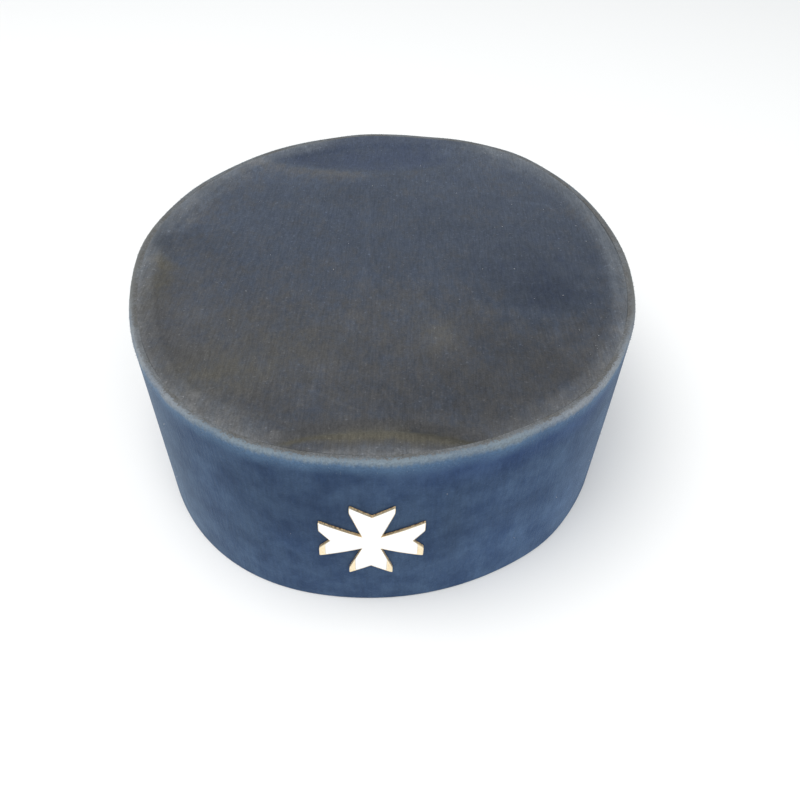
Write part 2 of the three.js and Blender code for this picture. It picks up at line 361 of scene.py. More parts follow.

# Pressed and rubbed places of the side, and a painted crease shadow: angle, and height and reach in
# millimetres.
SIDE_PATCHES = (
    dict(at="dark nap under the rim", angle=-72, height=61, reach=(13, 5), lift=-0.14),
    # Painted shade of a crease.
    dict(at="painted crease shadow right of the badge", angle=-76, height=36, reach=(4, 17), lift=-0.20),
    dict(at="pale place low on the right", angle=-48, height=18, reach=(15, 13), lift=0.22),
    dict(at="pale place low in front", angle=-66, height=20, reach=(12, 8), lift=0.14),
    dict(at="dark nap on the left", angle=-106, height=50, reach=(24, 13), lift=-0.12),
    dict(at="pale place left of the badge", angle=-104, height=27, reach=(10, 4), lift=0.20),
    dict(at="pale place high on the left", angle=-120, height=42, reach=(10, 16), lift=0.20),
    dict(at="pale place over the badge", angle=-88, height=55, reach=(5, 7), lift=0.10),
    dict(at="dark streak on the right", angle=-62, height=34, reach=(14, 3), lift=-0.12),
    dict(at="dark place low on the left", angle=-112, height=24, reach=(9, 5), lift=-0.10),
)
# The side is also paler all over its right, up to near the rim, as painted sheen, and towards the hem.
RIGHT_SHEEN = dict(starts=(-86, -62), ends=(80, 170), heights=(44, 60), lift=0.26)
LOW_PALE = dict(heights=(2, 36), lift=0.22)

# Where the pale rim, partly rubbed and partly a painted highlight, comes further down, in millimetres,
# and what share of the nap under it is bluer.
RIM_PLACES = (
    dict(at="front left", angle=-125, spread=10, down=0.5, blue=0.1),
    dict(at="right of the badge", angle=-71, spread=12, down=1.0, blue=0.8),
    dict(at="front right", angle=-48, spread=12, down=0.8, blue=0.7),
)
BLUE_HEIGHTS = (52, 62)


def side_lift(points):
    """How much lighter or darker the side is, place by place: nap whose lightness is partly painted sheen,
    painted sheen over its right, and a painted crease shadow right of the badge.
    """
    angle = angle_round(points[:, 0], points[:, 1])
    height = points[:, 2] / MM
    radius = np.hypot(points[:, 0], points[:, 1]) / MM
    right = smooth(angle, *RIGHT_SHEEN["starts"]) * (1 - smooth(angle, *RIGHT_SHEEN["ends"]))
    right = right * (1 - smooth(height, *RIGHT_SHEEN["heights"]))
    lift = RIGHT_SHEEN["lift"] * right + LOW_PALE["lift"] * (1 - smooth(height, *LOW_PALE["heights"]))
    for patch in SIDE_PATCHES:
        wide, tall = patch["reach"]
        along = np.radians(angle - patch["angle"]) * radius
        lift += patch["lift"] * bell(np.hypot(along / wide, (height - patch["height"]) / tall))
    return lift


def band_marks(points, inset):
    """What the band's finish and strands read at its points, with distances in millimetres."""
    angle = angle_round(points[:, 0], points[:, 1])
    below = (CAP_HEIGHT - points[:, 2]) / MM
    blue = sum(place["blue"] * share_at(angle, place) for place in RIM_PLACES)
    outside = inset < 0.5 * WALL / MM
    return dict(
        below_rim=below,
        rim_down=sum(place["down"] * share_at(angle, place) for place in RIM_PLACES),
        blue=blue * smooth(points[:, 2] / MM, *BLUE_HEIGHTS),
        lift=side_lift(points),
        rim_in=inset,
        rim_pile=(1 - smooth(below, 0.8, 4.2)) * (1 - smooth(inset, 0.3, 2.2)),
        lint_here=0.2 * outside * smooth(points[:, 2], 3 * MM, 5 * MM),
    )


def band_section():
    """Pairs of inset and height from the hem up the outside, over the rim and down the inside."""
    rises = np.linspace(2 * HEM_ROUND, CAP_HEIGHT - 2 * RIM_ROUND, WALL_LEVELS)
    ledge = WALL + LEDGE_REACH - LEDGE_ROUND
    return [
        *arc(HEM_ROUND, HEM_ROUND, HEM_ROUND, -90, 0, HEM_STEPS),
        *[(0.0, z) for z in rises],
        *arc(RIM_ROUND, CAP_HEIGHT - RIM_ROUND, RIM_ROUND, 0, 100, RIM_STEPS),
        (WALL, CAP_HEIGHT - RIM_LIP_DROP),
        (WALL, CAP_HEIGHT - RIM_LIP_DEPTH),
        (WALL, LEDGE_TOP),
        *arc(ledge, LEDGE_TOP - LEDGE_ROUND, -LEDGE_ROUND, -90, 0, LEDGE_STEPS),
        *arc(ledge, LEDGE_TOP - LEDGE_DEPTH / 2 + LEDGE_ROUND, -LEDGE_ROUND, 0, 60, LEDGE_STEPS),
        (WALL, LEDGE_TOP - LEDGE_DEPTH),
        *[(WALL, z) for z in rises[-4::-3]],  # the inside has every third level
        *arc(WALL - HEM_ROUND, HEM_ROUND, HEM_ROUND, 180, 270, HEM_STEPS),
    ]


def section_curve(name, pairs):
    """A closed curve whose x is outwards from the rim and whose y is the height."""
    data = bpy.data.curves.new(name, "CURVE")
    data.dimensions = "3D"
    spline = data.splines.new("POLY")
    spline.points.add(len(pairs) - 1)
    for point, (inset, height) in zip(spline.points, pairs):
        lean = BOTTOM_INSET * (1 - height / CAP_HEIGHT)
        point.co = (-inset - lean, height, 0, 1)
    spline.use_cyclic_u = True
    return add_object(name, data)


def make_band(finish, fibre_finish):
    """The band, with the fibres that stand on its rim as a piece of their own."""
    pairs = band_section()
    section = section_curve("band_section", pairs)
    mesh = grown_mesh("velvet_band", section, oval_sweep_tree())
    bpy.data.objects.remove(section)
    mesh.flip_normals()  # the sweep leaves its faces turned inwards
    points = get_points(mesh)
    outward = points * (1, 1, 0) / np.linalg.norm(points[:, :2], axis=1)[:, None]
    waves = ripples(points, WALL_WAVE_LENGTH, seed=3) * WALL_WAVE
    waves = waves * smooth(points[:, 2], 0, WALL_WAVE_START)
    points = settled(points + outward * waves[:, None])
    set_points(mesh, points)
    inset = np.tile([pair[0] / MM for pair in pairs], len(points) // len(pairs))
    set_marks(mesh, **band_marks(points, inset))
    mesh.materials.clear()
    mesh.materials.append(finish)
    band = add_object("velvet_band", mesh)
    fibres = scatter("rim_pile", band, "rim_pile", fibre_finish, RIM_FIBRES)
    dress(band, "velvet_side", "side_band")
    mark_sharp(mesh)
    dress(fibres, "velvet_side")
    return band


# Strands that stand in the pile or lie on it.
STRAND_SIDES = 3


def random_value(tree, kind, low, high, seed):
    """A random number or vector for each strand."""
    inputs = {"Min": low, "Max": high, "Seed": seed}
    return add(tree, "FunctionNodeRandomValue", inputs, data_type=kind).outputs["Value"]


def strand_tree(name, where):
    """Spreads tapered strands over a surface, as thickly as the surface's mark called where says."""
    sizes = {size: ("Float", 0.0) for size in ("Density", "Shortest", "Longest", "Thickness", "Stray")}
    tree = new_geometry_tree(name, {"Seed": ("Int", 0), **sizes, "Finish": ("Material", None)})
    given = tree.nodes.new("NodeGroupInput").outputs
    marked = add(tree, "GeometryNodeInputNamedAttribute", {"Name": where}, data_type="FLOAT")
    density = math_node(tree, "MULTIPLY", marked.outputs["Attribute"], given["Density"])
    ground = {"Mesh": given["Geometry"], "Density": density, "Seed": given["Seed"]}
    spread = add(tree, "GeometryNodeDistributePointsOnFaces", ground)
    length = random_value(tree, "FLOAT", given["Shortest"], given["Longest"], given["Seed"])
    stray = random_value(tree, "FLOAT_VECTOR", (-1, -1, -1), (1, 1, 1), given["Seed"])
    leaning = {0: stray, "Scale": given["Stray"]}
    lean = add(tree, "ShaderNodeVectorMath", leaning, operation="SCALE").outputs[0]
    standing = {0: spread.outputs["Normal"], 1: lean}
    way = add(tree, "ShaderNodeVectorMath", standing, operation="ADD").outputs[0]
    turned = add(tree, "FunctionNodeAlignRotationToVector", {"Vector": way}, axis="Z")
    taper = {"Radius Top": 0.0, "Radius Bottom": given["Thickness"], "Depth": 1.0}
    strand = add(tree, "GeometryNodeMeshCone", {"Vertices": STRAND_SIDES, **taper})
    size = add(tree, "ShaderNodeCombineXYZ", {"X": 1.0, "Y": 1.0, "Z": length})
    planting = {
        "Points": spread.outputs["Points"],
        "Instance": strand.outputs["Mesh"],
        "Rotation": turned.outputs[0],
        "Scale": size.outputs[0],
    }
    planted = add(tree, "GeometryNodeInstanceOnPoints", planting)
    finish_tree(tree, planted.outputs[0], given["Finish"])
    return tree


def scatter(name, ground, where, finish, sizes):
    """Strands over a piece, as a piece of their own."""
    bare = add_object(name + "_ground", ground.data)
    mesh = grown_mesh(name, bare, strand_tree(name, where), {**sizes, "Finish": finish})
    bpy.data.objects.remove(bare)
    return add_object(name, mesh)


# The top panel's relief, in millimetres. Each crease follows y = y + bend * (distance along x)^2.
# depth is its groove (below 0) or ridge, and step is the change of level beyond it.
CREASES = dict(
    crescent=dict(x=4, y=-90.4, length=42, bend=-0.0085, width=2.0, depth=-0.9, step=0.0),
    fold=dict(x=-13, y=68.5, length=48, bend=0.0050, width=2.6, depth=-0.3, step=-1.0),
    ridge=dict(x=-38, y=61, length=36, bend=0.0016, width=5.5, depth=0.5, step=0.0),
)
CREASE_EVEN = 0.55  # a crease dies away over the rest of its length
STEP_START = 0.5  # a step dies away between these distances in from the panel's edge
STEP_END = 8.0
SEAM_EDGE_DROP = 0.10
SEAM_OPEN = dict(angle=12, spread=16, drop=0.35)  # the seam shows only on the right
ROLL_DROP = 0.1
ROLL_START = 1.2
ROLL_END = 5.2
FIELD_START = 8.4
FIELD_DROP = 0.9
FIELD_WANDER = 1.2
DISH_DROP = 0.5
OLD_FOLD = dict(depth=0.12, width=1.2)

# Rubbed and pressed places of the nap, in millimetres, whose lightness is partly painted sheen of the
# crushed nap. lift is lighter above 0, warm is browner above 0 and bluer below it, and olive is the colour
# of the bare, flattened pile.
PATCHES = (
    dict(at="rubbed spot", x=20, y=-45, reach=(7, 9), lift=0.26, olive=0.3),
    dict(at="rubbed spot's tail", x=12, y=-31, reach=(6, 7), lift=0.12, olive=0.15),
    dict(at="left pale spot", x=-63, y=-38, reach=(7, 7), lift=0.18),
    dict(at="right navy patch", x=60, y=-23, reach=(17, 15), lift=-0.20, warm=-0.8),
    dict(at="right dark nap", x=52, y=-6, reach=(26, 22), lift=-0.13, warm=-0.3),
    dict(at="front right dark nap", x=40, y=-62, reach=(30, 24), lift=-0.25),
    dict(at="front dark nap", x=4, y=-80, reach=(26, 9), lift=-0.16, warm=-0.1),
    dict(at="back left dark line", x=-30, y=47, reach=(26, 8), lift=-0.12),
    dict(at="front left olive pile", x=-50, y=-69, reach=(18, 9), lift=0.02, olive=0.55),
    dict(at="left middle olive pile", x=-32, y=-52, reach=(22, 13), lift=-0.03, olive=0.25),
    dict(at="left edge olive pile", x=-79, y=-20, reach=(4, 15), lift=-0.06, olive=0.8),
    dict(at="left edge navy spot", x=-83, y=6.5, reach=(3, 5), lift=-0.34, warm=-0.8),
    dict(at="left edge rust", x=-83, y=-7, reach=(3, 5), lift=0.05, warm=0.4, olive=0.5),
    dict(at="front left pink fleck", x=-53.6, y=-79.7, reach=(2.0, 2.0), lift=0.3, warm=0.4),
    dict(at="front pink fleck", x=-27.7, y=-95.5, reach=(1.8, 1.8), lift=0.35, warm=0.5),
    dict(at="back pale place", x=24, y=90, reach=(5, 5), lift=0.25),
    dict(at="back right pale nap", x=46, y=76, reach=(18, 10), lift=0.08),
    dict(at="right pale spots", x=79.5, y=-42, reach=(3, 4), lift=0.30),
    dict(at="front right pale patch", x=72, y=-56, reach=(4, 4), lift=0.22),
)
# Lines rubbed lighter: their corners, their half width and how light they are.
OLD_FOLD_CORNERS = ((-9, 59), (-7, 3), (-10, -40), (-18, -67), (-22, -81))
RIGHT_ROLL_CORNERS = ((81.4, 34), (83.7, 1), (81.7, -24), (79, -42))
SCUFFS = (
    dict(at="old fold", corners=OLD_FOLD_CORNERS, width=1.3, lift=0.09),
    dict(at="left front scratch", corners=((-20, -75), (-6.5, -83)), width=0.6, lift=0.22),
    dict(at="front scratch", corners=((2, -74), (6.8, -85)), width=0.5, lift=0.20),
    dict(at="back right scratch", corners=((49, 46), (65, 43), (68, 39)), width=0.6, lift=0.25),
    dict(at="left inner roll", corners=((-74, 26), (-81, 12.5)), width=1.5, lift=0.16),
    dict(at="right inner roll", corners=RIGHT_ROLL_CORNERS, width=1.5, lift=0.14),
    dict(at="front right roll", corners=((70, -60), (60.6, -70), (51.8, -79.7)), width=2.0, lift=0.20),
)

# Where the edge of the top is pale, partly rubbed and partly painted sheen: angle and spread,
# how far in it reaches in millimetres and how strongly.
ROLL_PLACES = (
    dict(at="right", angle=8, spread=28, reach=7, pale=0.42),
    dict(at="back right", angle=60, spread=28, reach=10, pale=0.26),
    dict(at="back", angle=92, spread=26, reach=6, pale=0.6),
    dict(at="back left", angle=152, spread=20, reach=10, pale=0.32),
    dict(at="left", angle=186, spread=14, reach=6, pale=0.34),
    dict(at="front left", angle=241, spread=8, reach=9, pale=0.34),
    dict(at="front", angle=270, spread=14, reach=5, pale=0.28),
)
ROLL_BASE = dict(reach=(2.8, 6.8), pale=0.23)  # and all round
ROLL_EDGE = dict(reach=(0, 2.4), pale=0.35)  # and right at the rim


def roll_wear_and_sheen(x, y, edge):
    """How pale the edge of the top is: partly rubbed, partly painted sheen."""
    pale = sum(ring["pale"] * (1 - smooth(edge, *ring["reach"])) for ring in (ROLL_BASE, ROLL_EDGE))
    angle = angle_round(x, y)
    for place in ROLL_PLACES:
        inward = 1 - smooth(edge, place["reach"] - 3, place["reach"] + 2)
        pale = pale + place["pale"] * share_at(angle, place) * inward
    return pale


PANEL_SEAM = 0.02 * MM  # the two piles meet closer than the boards under them
PANEL_STEPS = 576
PANEL_ZONES = ((10.0, 0.4), (34.0, 0.8), (85.0, 1.8))  # rings this close together, out to this far in
PANEL_WAVE = 0.14  # in millimetres, like the relief
UNDERSIDE_SHARES = (1, 0.9, 0.5)  # the underside's rings, as shares of the outline


def crease_place(crease, x, y):
    """How far beyond a crease a place is, and how much of the crease there is along x."""
    along = x - crease["x"]
    beyond = y - crease["y"] - crease["bend"] * along**2
    beyond = beyond / np.hypot(1, 2 * crease["bend"] * along)
    return beyond, 1 - smooth(np.abs(along), CREASE_EVEN * crease["length"], crease["length"])


def crease_height(x, y, edge):
    inside = smooth(edge, STEP_START, STEP_END)
    height = 0
    for crease in CREASES.values():
        beyond, there = crease_place(crease, x, y)
        groove = crease["depth"] * bell(beyond / crease["width"])
        step = crease["step"] * smooth(beyond, 0, 3 * crease["width"]) * inside
        height = height + (groove + step) * there
    return height


def line_distance(x, y, corners):
    """The distance from each place to a line through the corners."""
    nearest = np.full(x.shape, np.inf)
    for (x0, y0), (x1, y1) in zip(corners, corners[1:]):
        run = np.array([x1 - x0, y1 - y0], float)
        share = np.clip(((x - x0) * run[0] + (y - y0) * run[1]) / (run @ run), 0, 1)
        nearest = np.minimum(nearest, np.hypot(x - x0 - share * run[0], y - y0 - share * run[1]))
    return nearest


def panel_height(places, edge, share):
    """The top's height over the rim. edge is the distance in from the panel's edge."""
    x, y = places[:, 0], places[:, 1]
    spread = FIELD_WANDER * ripples(places, 45, seed=11) * smooth(edge, 2, 4)
    seam = SEAM_EDGE_DROP + SEAM_OPEN["drop"] * share_at(angle_round(x, y), SEAM_OPEN)
    roll = -seam + (seam - ROLL_DROP) * smooth(edge, 0, ROLL_START)
    field = -FIELD_DROP - DISH_DROP * (1 - share**2)
    height = roll + (field - roll) * smooth(edge - spread, ROLL_END, FIELD_START)
    old_fold = OLD_FOLD["depth"] * bell(line_distance(x, y, OLD_FOLD_CORNERS) / OLD_FOLD["width"])
    relief = crease_height(x, y, edge) - old_fold + PANEL_WAVE * ripples(places, 38, seed=12)
    return height + relief * smooth(edge, 0, ROLL_START)


def broad_marks(places):
    """The nap's slow changes over the whole top; their lightness is partly painted sheen."""
    x, y = places[:, 0], places[:, 1]
    lift = 0.03 * ripples(places, 30, seed=22)
    lift += 0.14 * smooth(y, 20, 75) + 0.12 * smooth(-x, 5, 65) * smooth(y, 0, 40)
    warm = 0.75 * smooth(-y, -20, 62) + 0.25 * smooth(-x, 40, 80) + 0.10 * ripples(places, 26, seed=23)
    return dict(lift=lift, warm=warm, olive=np.zeros(len(places)))


def add_patches(marks, places):
    """Marks the patches, with uneven outlines, and the lines."""
    x, y = places[:, 0], places[:, 1]
    wander = ripples(places, 9, seed=21)
    for patch in PATCHES:
        wide, tall = patch["reach"]
        there = bell(np.hypot((x - patch["x"]) / wide, (y - patch["y"]) / tall) * (1 + 0.15 * wander))
        for name, values in marks.items():
            values += patch.get(name, 0) * there
    for scuff in SCUFFS:
        marks["lift"] += scuff["lift"] * bell(line_distance(x, y, scuff["corners"]) / scuff["width"])


def add_crescent(marks, x, y):
    """Marks the front press: olive in its hollow and darker towards its ends, with a painted shadow
    along the crease behind it and in its right half. Returns where it is pressed.
    """
    front, there = crease_place(CREASES["crescent"], x, y)
    thick = 3.4 - 2.2 * smooth(np.abs(x - CREASES["crescent"]["x"]), 8, 27)
    hollow = there * bell((front + thick) / thick)
    # behind is a painted shadow along the crease, darker and browner.
    behind = there * bell((front - 2.2) / 1.8)
    marks["lift"] += hollow * (0.05 - 0.20 * smooth(np.abs(x + 3), 6, 20)) - 0.12 * behind
    # Painted shadow in the right half of the hollow.
    marks["lift"] -= 0.22 * there * bell((front + 1.2) / 1.8) * smooth(x, 4, 14)
    marks["olive"] += 1.3 * hollow
    marks["warm"] += 0.4 * behind
    return there * smooth(front, -9.5, -6.5)


def add_fold(marks, x, y):
    """Marks the back fold: navy nap beyond it, and a paler plateau between it and the old ridge."""
    beyond, there = crease_place(CREASES["fold"], x, y)
    hollow = smooth(beyond, -0.5, 4.0) * there
    marks["lift"] -= 0.15 * hollow * bell((x + 34) / 16)
    marks["warm"] -= 0.75 * hollow
    ridge, ridge_there = crease_place(CREASES["ridge"], x, y)
    plateau = smooth(ridge, -7.5, -3.5) * (1 - smooth(beyond, -2, 2)) * ridge_there
    rubbed = bell((beyond + 4.5) / 5)
    marks["lift"] += plateau * (0.06 + 0.11 * rubbed)
    marks["warm"] += 0.6 * plateau * rubbed


def panel_marks(places, edge):
    """The nap's lighter, browner, flattened and pale places, painted sheen and shade among them, for the
    finish, and where lint lies.
    """
    x, y = places[:, 0], places[:, 1]
    marks = broad_marks(places)
    add_patches(marks, places)
    pressed = add_crescent(marks, x, y)
    add_fold(marks, x, y)
    marks["roll"] = roll_wear_and_sheen(x, y, edge) * (1 - 0.85 * pressed)
    marks["lint_here"] = (edge > 0.5) * (0.25 + smooth(x + 0.4 * y, -20, 60))
    return marks


def ring_faces(rows, steps):
    """Faces over rings of points, outwards from a middle point and closed by another at the end."""
    sides = [(1 + step, 1 + (step + 1) % steps) for step in range(steps)]
    faces = [(0, a, b) for a, b in sides]
    last = (rows - 1) * steps
    for low in range(0, last, steps):
        high = low + steps
        faces += [(a + low, a + high, b + high, b + low) for a, b in sides]
    end = rows * steps + 1
    return faces + [(end, b + last, a + last) for a, b in sides]


def make_top(finish):
    half_width = CAP_WIDTH / 2 - WALL - PANEL_SEAM
    half_length = CAP_LENGTH / 2 - WALL - PANEL_SEAM
    insets = [0.0]
    for end, step in PANEL_ZONES:
        insets += list(np.arange(insets[-1] + step, end, step))
    shares = 1 - np.array(insets[::-1]) / (half_width / MM)
    rings = np.array([*shares, *UNDERSIDE_SHARES])
    outline = oval(np.linspace(0, 2 * math.pi, PANEL_STEPS, endpoint=False), half_width, half_length)
    places = np.vstack([[(0, 0)], (rings[:, None, None] * outline).reshape(-1, 2), [(0, 0)]])
    share = np.concatenate([[0], np.repeat(rings, PANEL_STEPS), [0]])
    edge = (1 - share) * half_width / MM
    height = CAP_HEIGHT + panel_height(places / MM, edge, share) * MM
    height[1 + len(shares) * PANEL_STEPS :] = PANEL_BOTTOM
    mesh = bpy.data.meshes.new("velvet_top")
    points = settled(np.column_stack([places, height]))
    mesh.from_pydata(points.tolist(), [], ring_faces(len(rings), PANEL_STEPS))
    mesh.update()
    set_marks(mesh, **panel_marks(places / MM, edge))
    mesh.materials.append(finish)
    panel = add_object("velvet_top", mesh)
    dress(panel, "velvet_top", "top_panel")
    mark_sharp(mesh)
    return panel


# The badge. Each arm ends in two points, which blunt cuts off straight up and down.
SIDE_ARMS = dict(reach=16.1 * MM, spread=8.3 * MM, blunt_along=0.0, blunt_across=3.9 * MM)
UPRIGHT_ARMS = dict(reach=16.8 * MM, spread=6.8 * MM, blunt_along=2.5 * MM, blunt_across=0.0)
CROSS_NOTCH = 12.6 * MM
CROSS_WAIST = 2.9 * MM
ARM_CORNERS = 6
SHARP_CORNERS = (2, 5)  # of an arm: its notch, and the corner where it meets the next arm
CROSS_ROUND = 0.45 * MM  # the rounding of its points
LOW_ARM = 3  # the arm that points down, counted round from the right one
LOW_ARM_SHORTER = 0.7 * MM
CROSS_TURN = math.radians(-1)
CROSS_ASIDE = -0.27 * MM
BADGE_HEIGHT = CAP_HEIGHT - 35.75 * MM
PLATE_BACK = 0.5 * MM
PLATE_BORDER = 0.12 * MM
PLATE_RISE = 0.5 * MM
PLATE_EDGE = 0.06 * MM  # the rounding of its outer edge
TIP_BARE = 1.9 * MM
ENAMEL_GAP = 0.03 * MM
ENAMEL_EDGE = 0.08 * MM
BADGE_SLICE = 1.0 * MM  # the badge is bent in strips this wide
BADGE_WELD = 1e-7
FRONT_ANGLES = (-126, -54)  # the stretch of the band that the badge can lie on
FRONT_STEPS = 400
PLATE_FLOOR = GAP + PLATE_BACK
PLATE_FACE = PLATE_FLOOR + PLATE_RISE


def cross_corners():
    """The corners of the cross, and whether bare metal lies along the edge that leaves each one."""
    corners = []
    for arm in range(4):
        sizes = UPRIGHT_ARMS if arm % 2 else SIDE_ARMS
        turn = Matrix.Rotation(arm * math.pi / 2 + CROSS_TURN, 2)
        shorter = LOW_ARM_SHORTER * (arm == LOW_ARM)
        end, side = sizes["reach"] - shorter, sizes["spread"]
        for along, across, blunt in (
            (end - sizes["blunt_along"], -side, True),
            (end, -side + sizes["blunt_across"], False),
            (CROSS_NOTCH - shorter, 0, False),
            (end, side - sizes["blunt_across"], True),
            (end - sizes["blunt_along"], side, False),
            (CROSS_WAIST, CROSS_WAIST, False),
        ):
            point = turn @ Vector((along, across))
            corners.append((point + Vector((CROSS_ASIDE, 0)), blunt and point.y < 0))
    return corners


def rounded(loop):
    """The same outline with its points rounded off. Its notches and inner corners stay sharp."""
    smoothed = []
    for i, corner in enumerate(loop):
        if i % ARM_CORNERS in SHARP_CORNERS:
            smoothed.append(corner)
            continue
        before, after = loop[i - 1], loop[(i + 1) % len(loop)]
        start = (before - corner).normalized() * CROSS_ROUND
        end = (after - corner).normalized() * CROSS_ROUND
        smoothed += [corner + start, corner + 0.25 * (start + end), corner + end]
    return smoothed


def cross_loop(extra=0.0, inlay=False):
    """The cross drawn in by extra, and for the inlay also by the plate's border and bare points."""
    corners = cross_corners()
    edges = []
    for (point, bare), (after, _) in zip(corners, corners[1:] + corners[:1]):
        cut = extra + (TIP_BARE if bare else PLATE_BORDER) * inlay
        along = (after - point).normalized()
        edges.append((point + Vector((-along.y, along.x)) * cut, along))
    loop = []
    for (start, along), (before, way) in zip(edges, edges[-1:] + edges[:-1]):
        between = start - before
        reach = between.cross(along) / way.cross(along)
        loop.append(before + way * reach)
    return rounded(loop)


def layered_cross(name, layers):
    """A closed cross through loops, each at its distance out from the band, and bent round the band."""
    build = bmesh.new()
    rings = []
    for loop, out in layers:
        rings.append([build.verts.new((point.x, -out, point.y)) for point in loop])
    for low, high in zip(rings, rings[1:]):
        for i in range(len(low)):
            j = (i + 1) % len(low)
            build.faces.new((low[i], low[j], high[j], high[i]))
    build.faces.new(rings[0][::-1])
    build.faces.new(rings[-1])
    build.normal_update()
    bmesh.ops.triangulate(build, faces=[face for face in build.faces if len(face.verts) > 4])
    half = SIDE_ARMS["reach"]
    for x in np.arange(-half + BADGE_SLICE / 2, half, BADGE_SLICE):
        whole = build.verts[:] + build.edges[:] + build.faces[:]
        bmesh.ops.bisect_plane(build, geom=whole, dist=BADGE_WELD, plane_co=(x, 0, 0), plane_no=(1, 0, 0))
    bmesh.ops.recalc_face_normals(build, faces=build.faces)
    mesh = bpy.data.meshes.new(name)
    build.to_mesh(mesh)
    build.free()
    points = get_points(mesh)
    set_marks(mesh, out=-points[:, 1] / MM)
    set_points(mesh, on_band(points))
    return mesh


def on_band(points):
    """Bends upright flat work, whose y is towards the band, round the front at the badge's height."""
    face = band_face(np.radians(np.linspace(*FRONT_ANGLES, FRONT_STEPS)), BADGE_HEIGHT)
    along = np.gradient(face, axis=0)
    outward = np.stack([along[:, 1], -along[:, 0]], -1) / np.linalg.norm(along, axis=1)[:, None]
    seat = np.interp(0, face[:, 0], face[:, 1])
    placed = points.copy()
    for out in np.unique(np.round(-points[:, 1], 7)):
        here = np.abs(-points[:, 1] - out) < TINY
        sheet = face + outward * out
        placed[here, 1] = np.interp(points[here, 0], sheet[:, 0], sheet[:, 1]) - seat
    slope = math.atan2(BOTTOM_INSET, CAP_HEIGHT)
    y = placed[:, 1] * math.cos(slope) - placed[:, 2] * math.sin(slope)
    z = placed[:, 1] * math.sin(slope) + placed[:, 2] * math.cos(slope)
    return np.column_stack([placed[:, 0], y + seat, z + BADGE_HEIGHT])


def make_badge(plate_finish, enamel_finish):
    """The gilt plate with its sunk bed, and the enamel that fills the bed."""
    plate = layered_cross(
        "cross_plate",
        [
            (cross_loop(PLATE_EDGE), GAP),
            (cross_loop(), GAP + PLATE_EDGE),
            (cross_loop(), PLATE_FACE - PLATE_EDGE),
            (cross_loop(0.3 * PLATE_EDGE), PLATE_FACE - 0.3 * PLATE_EDGE),
            (cross_loop(PLATE_EDGE), PLATE_FACE),
            (cross_loop(-0.5 * PLATE_EDGE, inlay=True), PLATE_FACE),
            (cross_loop(0, inlay=True), PLATE_FACE - 0.5 * PLATE_EDGE),
            (cross_loop(0, inlay=True), PLATE_FLOOR),
        ],
    )
    enamel = layered_cross(
        "cross_enamel",
        [
            (cross_loop(ENAMEL_GAP, inlay=True), PLATE_FLOOR + ENAMEL_GAP),
            (cross_loop(ENAMEL_GAP, inlay=True), PLATE_FACE - ENAMEL_EDGE),
            (cross_loop(ENAMEL_GAP + 0.3 * ENAMEL_EDGE, inlay=True), PLATE_FACE - 0.3 * ENAMEL_EDGE),
            (cross_loop(ENAMEL_GAP + ENAMEL_EDGE, inlay=True), PLATE_FACE),
        ],
    )
    for mesh, finish, slot, node in (
        (plate, plate_finish, "gilt", "badge_plate"),
        (enamel, enamel_finish, "enamel", "badge_enamel"),
    ):
        mesh.materials.append(finish)
        dress(add_object(mesh.name, mesh), slot, node)
        mark_sharp(mesh)


# Finishes. Sizes in them are metres on the cap.
MIX_FIRST, MIX_SECOND = 6, 7  # the Mix node's colour inputs, and its colour output
MIX_RESULT = 2


def new_finish(name, roughness, **settings):
    """A finish with its node tree and its shader, whose plain values are set by name."""
    finish = bpy.data.materials.new(name)
    finish.use_nodes = True
    shader = finish.node_tree.nodes["Principled BSDF"]
    shader.inputs["Roughness"].default_value = roughness
    for key, value in settings.items():
        shader.inputs[key.replace("_", " ")].default_value = value
    return finish, finish.node_tree, shader


def noise(tree, size, detail=2.0, stretch=(1, 1, 1), rough=0.5, shift=0.0):
    """Soft noise on the cap from 0 to 1, with features about this size. shift takes another part of it."""
    place = add(tree, "ShaderNodeTexCoord").outputs["Object"]
    scale = tuple(1 / (size * way) for way in stretch)
    mapping = {"Vector": place, "Scale": scale, "Location": (shift, shift, shift)}
    mapped = add(tree, "ShaderNodeMapping", mapping).outputs[0]
    inputs = {"Vector": mapped, "Scale": 1.0, "Detail": detail, "Roughness": rough}
    return add(tree, "ShaderNodeTexNoise", inputs).outputs["Fac"]


def mark(tree, name):
    """A number that set_marks stored on the mesh."""
    return add(tree, "ShaderNodeAttribute", attribute_name=name).outputs["Fac"]


def fade(tree, value, start, end, low=0.0, high=1.0):
    """Turns a value from low at start to high at end, softly."""
    inputs = {"Value": value, "From Min": start, "From Max": end, "To Min": low, "To Max": high}
    return add(tree, "ShaderNodeMapRange", inputs, interpolation_type="SMOOTHSTEP").outputs[0]


def spread_about(tree, value, amount):
    """A noise turned into a change of that much either way about 1."""
    inputs = {0: value, 1: 2 * amount, 2: 1 - amount}
    return add(tree, "ShaderNodeMath", inputs, operation="MULTIPLY_ADD").outputs[0]


def blended(tree, factor, first, second):
    """A blend of two colours, each a colour or a socket, with more of the second as factor rises."""
    ends = [value if isinstance(value, bpy.types.NodeSocket) else (*value, 1) for value in (first, second)]
    inputs = {"Factor": factor, MIX_FIRST: ends[0], MIX_SECOND: ends[1]}
    return add(tree, "ShaderNodeMix", inputs, data_type="RGBA").outputs[MIX_RESULT]


def lightened(tree, colour, *factors):
    """A colour made lighter or darker by all the factors together."""
    total = factors[0]
    for factor in factors[1:]:
        total = math_node(tree, "MULTIPLY", total, factor)
    return add(tree, "ShaderNodeVectorMath", {0: colour, "Scale": total}, operation="SCALE").outputs[0]


def bumped(tree, shader, height, depth):
    """Gives a finish fine relief, this deep where height is 1."""
    bump = add(tree, "ShaderNodeBump", {"Height": height, "Distance": depth, "Strength": 1.0})
    tree.links.new(bump.outputs["Normal"], shader.inputs["Normal"])


